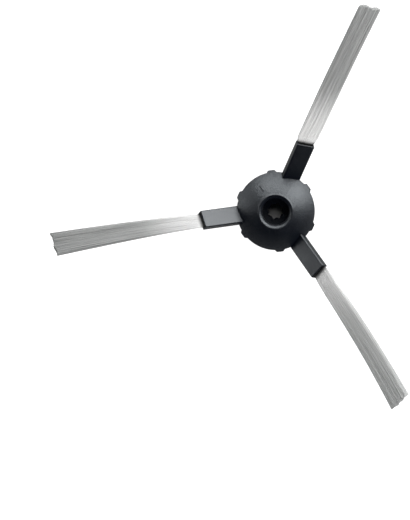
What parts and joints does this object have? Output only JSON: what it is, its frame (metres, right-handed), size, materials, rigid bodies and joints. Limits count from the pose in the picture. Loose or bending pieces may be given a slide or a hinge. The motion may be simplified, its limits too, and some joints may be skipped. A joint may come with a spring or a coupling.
{
  "type": "robot vacuum side brush",
  "caption": "Side brush for a robot vacuum: a black domed hub with a screw well and star socket, and sloping soft arms that each hold a flat pale bristle tuft.",
  "frame": {"origin": "hub's axis at its robot-side face", "axes": "+Z out of the hub's dome, towards the floor that the brush sweeps; +X along the first arm seen from above"},
  "size_m": [0.1284, 0.1414, 0.046],
  "materials": {
    "hub_plastic": "fine satin moulding, black",
    "base_plastic": "fine matt moulding, black",
    "sleeve_rubber": "soft matt rubber, near black",
    "bristle_nylon": "pale grey nylon filaments with a soft sheen"
  },
  "bodies": {
    "root": {"hub_shell": "hub_plastic", "hub_base": "base_plastic", "arm_sleeve_1": "sleeve_rubber", "arm_sleeve_2": "sleeve_rubber", "arm_sleeve_3": "sleeve_rubber", "bristle_tuft_1": "bristle_nylon", "bristle_tuft_2": "bristle_nylon", "bristle_tuft_3": "bristle_nylon"}
  },
  "joints": []
}
